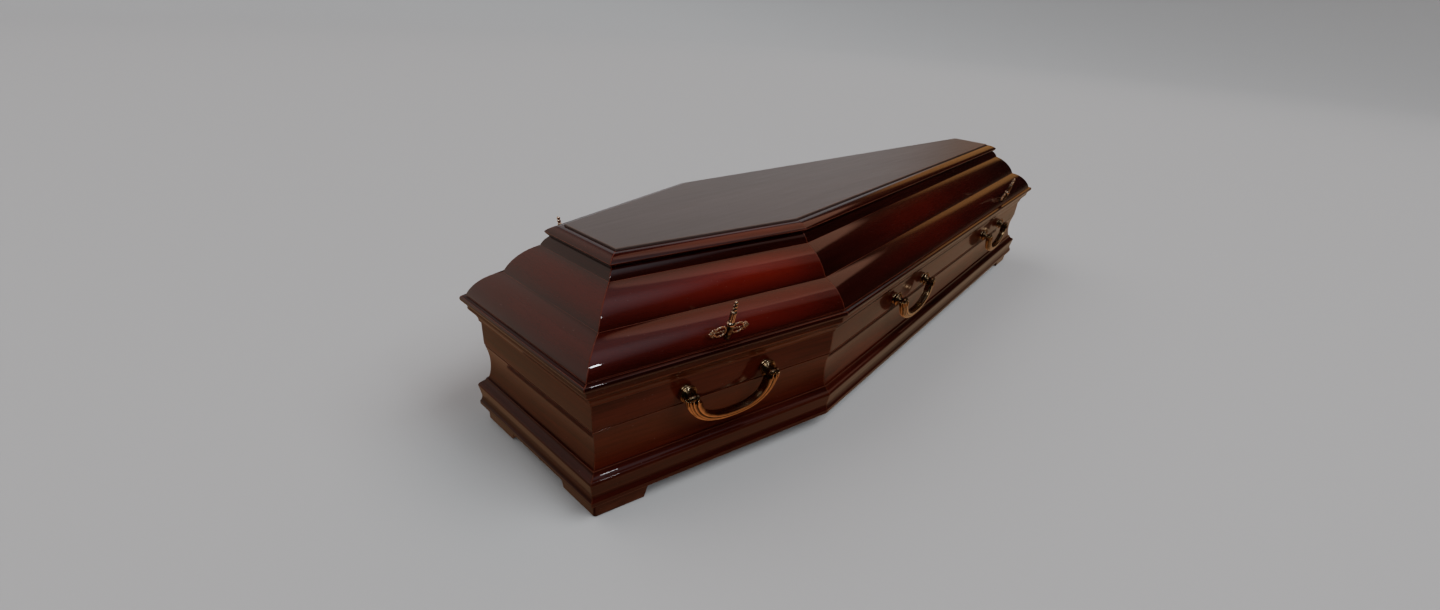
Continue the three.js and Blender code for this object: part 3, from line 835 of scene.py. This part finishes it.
def makePost(name, place, look):
    metal = Metal()
    outward = Matrix.Rotation(math.radians(-90), 4, "X")
    metal.lathe(postRings, 56, outward)
    eye = []
    half, radius = look["eyeWidth"] / 2, look["eyeRadius"]
    for along, share, shine in ((-1, 0.86, 0.5), (-0.8, 1, 0.7), (-0.3, 1.03, 0.45), (0.3, 1.03, 0.45),
                                (0.8, 1, 0.7), (1, 0.86, 0.5)):
        eye.append((radius * share, along * half, shine * 0.7))
    lying = Matrix.Translation((0, look["pivotOut"], 0)) @ Matrix.Rotation(math.radians(90), 4, "Y")
    metal.lathe(eye, 32, lying)
    return metal.build(f"{name}_finish", "coffin", name, handleBronze, place)


def bailPoint(turn, look):
    power = 2 / look["squareness"]
    across = math.copysign(abs(math.cos(turn)) ** power, math.cos(turn))
    return Vector((-look["halfWidth"] * across, -look["drop"] * abs(math.sin(turn)) ** power))


def bailSection(look):
    section = []  # share of thickness, depth, polish
    flat = 7
    for k in range(flat):
        share = k / (flat - 1)
        section.append((0.02 + 0.05 * abs(2 * share - 1) ** 3, blend(0.93, -0.93, share), 0.6))
    steps = look["ridges"] * 6
    outPower, acrossPower = look["roundness"]
    for k in range(steps + 1):
        angle = -math.pi / 2 + math.pi * k / steps
        ridge = abs(math.sin(math.pi * k / 6)) ** 0.65
        reach = 1 - look["ridgeDepth"] * (1 - ridge)
        out = abs(math.cos(angle)) ** outPower
        across = math.copysign(abs(math.sin(angle)) ** acrossPower, math.sin(angle))
        section.append((max(out * reach, 0.06), across * (1 if k in (0, steps) else reach ** 0.5),
                        0.05 + 0.95 * ridge ** 3))
    return section


def makeBail(name, body, place, look):
    metal = Metal()
    section = bailSection(look)
    half = look["depth"] / 2
    firstTurn = math.asin((look["topDrop"] / look["drop"]) ** (look["squareness"] / 2))
    stations = 56
    verts, polish = [], []
    for station in range(stations + 1):
        along = station / stations
        turn = blend(firstTurn, math.pi - firstTurn, along)
        here = bailPoint(turn, look)
        run = (bailPoint(turn + 0.01, look) - bailPoint(turn - 0.01, look)).normalized()
        if station in (0, stations):
            run = Vector((0, -1 if station == 0 else 1))
        outward = Vector((run.y, -run.x))
        flare = 1 + (look["flare"] - 1) * abs(2 * along - 1) ** 2
        for out, across, shine in section:
            reach = out * look["height"] * flare
            verts.append(Vector((here.x + outward.x * reach, across * half, here.y + outward.y * reach)))
            polish.append(shine)
    metal.add(verts, sweptFaces(stations + 1, len(section), flipped=True), polish)
    addCrowns(metal, look)
    addEars(metal, look)
    return metal.build(f"{name}_finish", body, name, handleBronze, place)


# Each arm ends in a ring of petals, one on each ridge, tipped with small balls
def addCrowns(metal, look):
    half = look["depth"] / 2
    width = look["height"] * look["flare"]
    outPower, acrossPower = look["roundness"]
    for hand in (-1, 1):
        for ridge in range(look["ridges"]):
            angle = -math.pi / 2 + math.pi * (ridge + 0.5) / look["ridges"]
            out = abs(math.cos(angle)) ** outPower * width
            across = math.copysign(abs(math.sin(angle)) ** acrossPower, math.sin(angle)) * half
            foot = Vector((hand * (look["halfWidth"] + out * 0.95), across * 0.88,
                           -look["topDrop"] - look["petalRoot"]))
            tip = Vector((hand * (look["halfWidth"] + out * 1.01), across * 1.02,
                          -look["topDrop"] + look["petalRise"]))
            middle = foot.lerp(tip, 0.5)
            metal.tube([foot, middle, tip], look["petalRadius"], 0.9, 10, closed=False)
            metal.ball(tip, look["ballRadius"], 1.0)


# Two ears on each arm hold the pin that runs through the post's eye
def addEars(metal, look):
    radius = look["eyeRadius"] - look["earInset"]
    earOut = look["eyeWidth"] / 2 + look["earGap"] + look["earThickness"] / 2
    bottom = -look["topDrop"] - look["earOverlap"]
    arch = [math.pi * k / 12 for k in range(13)]
    loop = [(-radius, bottom), (radius, bottom)]
    loop += [(radius * math.cos(turn), radius * math.sin(turn)) for turn in arch]
    shoulder, end = (earOut + more for more in look["pinEnds"])
    pin = [(look["pinRadius"] * 0.5, -end, 0.6), (look["pinRadius"], -shoulder, 0.8),
           (look["pinRadius"], shoulder, 0.8), (look["pinRadius"] * 0.5, end, 0.6)]
    for middle in (-look["postSpacing"] / 2, look["postSpacing"] / 2):
        for away in (-earOut, earOut):
            verts = []
            for edge in (-0.5, 0.5):
                x = middle + away + edge * look["earThickness"]
                verts += [Vector((x, y, z)) for y, z in loop]
            metal.add(verts, sweptFaces(2, len(loop)), 0.25)
        lying = Matrix.Translation((middle, 0, 0)) @ Matrix.Rotation(math.radians(90), 4, "Y")
        metal.lathe(pin, 20, lying)


for joint in frame["joints"]:
    handle = joint["name"].replace("swing_", "handle_")
    along = Vector(joint["axis"]).normalized()
    outward = Vector((-along.y, along.x, 0))
    pivot = Vector(joint["pos_m"])
    turned = Matrix((along, outward, Vector((0, 0, 1)))).transposed().to_4x4()
    place = Matrix.Translation(pivot) @ turned
    makeBail(f"{handle}_bail", joint["child"], place, handleLook)
    for number, away in ((1, -0.5), (2, 0.5)):
        shift = Vector((away * handleLook["postSpacing"], -handleLook["pivotOut"], 0)) * mm
        makePost(f"{handle}_post_{number}", place @ Matrix.Translation(shift), handleLook)
print("handles made")


# Wing screws, standing on the lower roll

screwLook = {
    "tilt": 14.0,
    "footUp": 24.0,
    "height": 83.0,
    "collar": 8.5,
    "wingUp": 17.0,
    "wingCentre": 19.0,
    "wingHalf": (14.0, 12.5),
    "rim": 1.6,
    "bar": 1.3,
    "barWaist": 4.0,
    "bead": 2.3,
    "beadSpread": 0.72,
    "ringBead": 1.9,
    "fluted": (0.455, 0.705),  # shares of the height
    "fluteCount": 8,
    "fluteDepth": 0.22,
}
spindleRings = [
    # share of collar radius, share of height, polish
    (0.6, -0.08, 0.1), (0.66, 0.02, 0.2), (0.64, 0.035, 0.3), (0.5, 0.05, 0.2), (0.48, 0.08, 0.1),
    (0.62, 0.11, 0.2), (0.84, 0.13, 0.35), (0.86, 0.2, 0.15), (0.84, 0.27, 0.35), (0.66, 0.3, 0.3),
    (0.62, 0.33, 0.5), (0.86, 0.35, 0.9), (1.0, 0.375, 1.0), (1.0, 0.4, 1.0), (0.84, 0.42, 0.8),
    (0.66, 0.435, 0.4), (0.68, 0.45, 0.6), (0.74, 0.47, 0.8), (0.72, 0.55, 0.85), (0.7, 0.65, 0.85),
    (0.74, 0.695, 0.9), (0.6, 0.715, 0.6), (0.34, 0.735, 0.3), (0.5, 0.755, 0.9), (0.58, 0.78, 1.0),
    (0.5, 0.805, 0.9), (0.32, 0.825, 0.3), (0.46, 0.845, 0.9), (0.53, 0.87, 1.0), (0.46, 0.895, 0.9),
    (0.3, 0.915, 0.3), (0.42, 0.93, 0.9), (0.46, 0.955, 1.0), (0.36, 0.98, 1.0), (0.12, 0.998, 1.0),
    (0.02, 1.0, 1.0),
]
wingBeads = [
    # share of the half length out of the wing's centre, height share, radius share
    (1.0, 0.0, 1.35), (1.32, 0.0, 1.15), (1.62, 0.0, 0.9), (1.18, 0.42, 1.05), (1.18, -0.42, 1.05),
    (1.46, 0.36, 0.85), (1.46, -0.36, 0.85), (0.86, 0.72, 0.95), (0.86, -0.72, 0.95), (1.02, 1.0, 0.7),
    (1.02, -1.0, 0.7), (1.3, 0.74, 0.75), (1.3, -0.74, 0.75), (1.56, 0.0, 1.0),
]


def rollPoint(up):
    width, height, bulge = lidLook["lowerRoll"]
    chord = math.hypot(width, height)
    radius = (chord * chord / 4 + bulge ** 2) / (2 * bulge)
    sink = (radius - bulge) / chord
    out = (rollOut + valleyOut) / 2 - sink * height
    centreUp = lidLook["rollFoot"] + height / 2 - sink * width
    return out + math.sqrt(radius ** 2 - (up - centreUp) ** 2)


def makeScrew(name, side, look):
    metal = Metal()
    outline = []
    for share, height, shine in spindleRings:
        outline.append((share * look["collar"], height * look["height"], shine))
    low, high = (share * look["height"] for share in look["fluted"])
    flutes = {"low": low, "high": high, "count": look["fluteCount"], "depth": look["fluteDepth"]}
    metal.lathe(outline, 48, None, flutes)
    halfLength, halfHeight = look["wingHalf"]
    rim, waist = look["rim"], look["barWaist"]
    for hand in (-1, 1):
        centre = Vector((hand * look["wingCentre"], 0, look["wingUp"]))
        ring = []
        for k in range(36):
            turn = 2 * math.pi * k / 36
            ring.append(centre + Vector((hand * (halfLength - rim) * math.cos(turn), 0,
                                         (halfHeight - rim) * math.sin(turn))))
        metal.tube(ring, rim, 0.9, 10)
        barPlaces = (-halfLength * 0.95, -waist, waist, halfLength * 0.95)
        bar = [centre + Vector((hand * x, 0, 0)) for x in barPlaces]
        metal.tube(bar, look["bar"], 0.85, 8, closed=False)
        for out in (-0.55, -0.1, 0.3):
            metal.ball(centre + Vector((hand * out * halfLength, 0, 0)), look["bar"] * 1.25, 1.0)
        for out, up, size in wingBeads:
            spot = centre + Vector((hand * out * halfLength, 0, up * halfHeight * look["beadSpread"]))
            metal.ball(spot, look["bead"] * size, 0.95)
        for turn in (60, 120, 240, 300):
            spot = centre + Vector((hand * (halfLength - rim / 2) * math.cos(math.radians(turn)), 0,
                                    (halfHeight - rim / 2) * math.sin(math.radians(turn))))
            metal.ball(spot, look["ringBead"], 1.0)
    local = [side["place"].inverted() @ v.co for v in frame["nodes"][name].data.vertices]
    middle = (min(v.x for v in local) + max(v.x for v in local)) / 2
    foot = Vector((middle, rollPoint(look["footUp"]) * mm, lidZ + look["footUp"] * mm))
    place = side["place"] @ Matrix.Translation(foot) @ Matrix.Rotation(math.radians(-look["tilt"]), 4, "X")
    return metal.build(f"{name}_finish", "coffin", name, screwBronze, place)


for flank in ("front", "back"):
    makeScrew(f"wing_screw_{flank}_head", sideNamed[f"{flank}_short"], screwLook)
    makeScrew(f"wing_screw_{flank}_foot", sideNamed[f"{flank}_long"], screwLook)
print("wing screws made")


# Floor, light and camera

stageLook = {
    "flatRadius": 14.0,
    "wallRadius": 22.0,
    "wallHeight": 12.0,
    "color": (0.43, 0.45, 0.47, 1),
}
skyLook = {"color": (1.0, 0.9, 0.82), "least": 0.007}
skyPatches = [
    # azimuth, elevation, inner and outer reach in degrees, brightness, colour
    (118.0, 30.0, 28.0, 48.0, 0.53, (1.0, 0.77, 0.67)),  # wall beside the head end
    (46.0, 17.0, 20.0, 26.0, 0.44, (0.97, 0.98, 1.0)),  # wall behind the far side
    (-60.0, 74.0, 14.0, 32.0, 0.3, (0.9, 0.93, 1.0)),  # ceiling
    (-76.0, 56.0, 8.0, 20.0, 0.3, (0.85, 0.88, 1.0)),  # round the window
    (2.0, 49.0, 18.0, 21.0, 0.85, (1.0, 0.5, 0.34)),  # warm wall past the foot end
    (-33.0, 44.0, 5.0, 13.0, 0.32, (1.0, 0.6, 0.5)),  # its other end
    (12.0, 16.0, 6.0, 12.0, 0.5, (1.0, 0.5, 0.18)),  # brown wall beside it
    (-12.0, -22.0, 14.0, 27.0, 0.33, (1.0, 0.68, 0.44)),  # floor past the long side
    (118.0, -34.0, 14.0, 40.0, 0.32, (1.0, 0.57, 0.33)),  # floor past the head end
    (-70.0, -64.0, 22.0, 50.0, 0.4, (1.0, 0.46, 0.26)),  # floor in front of the near side
    (-152.0, 44.0, 5.0, 14.0, 2.5, (1.0, 0.96, 0.9)),  # soft card behind the camera
]
lights = [
    # name, kind, azimuth and elevation from the aim, strength, size, colour, seen in reflections
    ("windowLight", "AREA", -79.0, 41.0, 6.0, 0.16, (0.88, 0.94, 1.0), True),
    ("cameraLight", "AREA", -142.0, 57.0, 5.0, 0.22, (1.0, 0.98, 0.95), True),
    ("keyLight", "SUN", -60.0, 52.0, 2.1, 0.7, (1.0, 0.98, 0.96), False),
    ("fillLight", "SUN", 120.0, 50.0, 1.0, 0.9, (1.0, 0.98, 0.96), False),
]
lightAim = Vector((-0.97, -0.22, 0.35))
lightDistance = 3.6


def direction(azimuth, elevation):
    turn, rise = math.radians(azimuth), math.radians(elevation)
    return Vector((math.cos(turn) * math.cos(rise), math.sin(turn) * math.cos(rise), math.sin(rise)))


# A round floor that curves up into a low wall all round
def makeFloor(look):
    outline = [(look["flatRadius"] * k / 4, 0.0) for k in range(1, 5)]
    rise = look["wallRadius"] - look["flatRadius"]
    for k in range(1, 13):
        turn = math.pi / 2 * k / 12
        outline.append((look["flatRadius"] + rise * math.sin(turn), rise * (1 - math.cos(turn))))
    outline.append((look["wallRadius"], look["wallHeight"]))
    verts, faces, segments = [(0, 0, 0)], [], 96
    for radius, height in outline:
        for k in range(segments):
            turn = 2 * math.pi * k / segments
            verts.append((radius * math.cos(turn), radius * math.sin(turn), height))
    for k in range(segments):
        faces.append((0, 1 + k, 1 + (k + 1) % segments))
    for row in range(len(outline) - 1):
        first = 1 + row * segments
        for k in range(segments):
            j = (k + 1) % segments
            faces.append((first + k, first + segments + k, first + segments + j, first + j))
    mesh = bpy.data.meshes.new("studioFloor")
    mesh.from_pydata(verts, [], faces)
    mesh.polygons.foreach_set("use_smooth", [True] * len(mesh.polygons))
    material, _, shader = newMaterial("floorPaper")
    shader.inputs["Base Color"].default_value = look["color"]
    shader.inputs["Roughness"].default_value = 0.9
    shader.inputs["Specular IOR Level"].default_value = 0.1
    mesh.materials.append(material)
    floor = bpy.data.objects.new("studioFloor", mesh)
    floor.location.z = -0.0005
    floor.visible_glossy = False
    bpy.context.scene.collection.objects.link(floor)


# A dim room with a few soft bright patches, which is what the lacquer mirrors
def makeSky():
    world = bpy.data.worlds.new("studio")
    world.use_nodes = True
    tree = world.node_tree
    looking = addNode(tree, "ShaderNodeTexCoord").outputs["Generated"]
    total = tuple(skyLook["least"] * c for c in skyLook["color"]) + (1.0,)
    for azimuth, elevation, inner, outer, brightness, color in skyPatches:
        facing = addNode(tree, "ShaderNodeVectorMath", {"operation": "DOT_PRODUCT"}, i0=looking,
                         i1=direction(azimuth, elevation)).outputs["Value"]
        ramp = addNode(tree, "ShaderNodeMapRange", {"interpolation_type": "SMOOTHSTEP"}, i0=facing,
                       i1=math.cos(math.radians(outer)), i2=math.cos(math.radians(inner)), i3=0.0, i4=1.0)
        patch = mixColor(tree, ramp.outputs[0], (0, 0, 0, 1), tuple(c * brightness for c in color) + (1.0,))
        total = mixColor(tree, 1.0, total, patch, "ADD")
    tree.links.new(total, tree.nodes["Background"].inputs["Color"])
    bpy.context.scene.world = world


def addLight(name, kind, azimuth, elevation, strength, size, color, mirrored):
    lamp = bpy.data.lights.new(name, kind)
    if kind == "AREA":
        lamp.size = size
    else:
        lamp.angle = size
    lamp.energy = strength
    lamp.color = color
    away = direction(azimuth, elevation)
    lightObject = bpy.data.objects.new(name, lamp)
    lightObject.location = lightAim + away * lightDistance
    lightObject.rotation_euler = (-away).to_track_quat("-Z", "Y").to_euler()
    lightObject.visible_glossy = mirrored
    bpy.context.scene.collection.objects.link(lightObject)


cameraLook = {
    "place": (-1.4455, -0.8676, 0.8424),
    "forward": (0.66361, 0.59810, -0.44931),
    "up": (0.28566, 0.35250, 0.89113),
    "lens": 14.781,
}


def makeCamera(look):
    lens = bpy.data.cameras.new("camera")
    lens.sensor_fit = "HORIZONTAL"
    lens.sensor_width = 36.0
    lens.lens = look["lens"]
    lens.clip_start = 0.02
    camera = bpy.data.objects.new("camera", lens)
    forward = Vector(look["forward"]).normalized()
    right = forward.cross(Vector(look["up"])).normalized()
    up = right.cross(forward)
    turned = Matrix((right, up, -forward)).transposed().to_4x4()
    camera.matrix_world = Matrix.Translation(look["place"]) @ turned
    bpy.context.scene.collection.objects.link(camera)
    bpy.context.scene.camera = camera


makeFloor(stageLook)
makeSky()
for light in lights:
    addLight(*light)
makeCamera(cameraLook)
print("stage made")
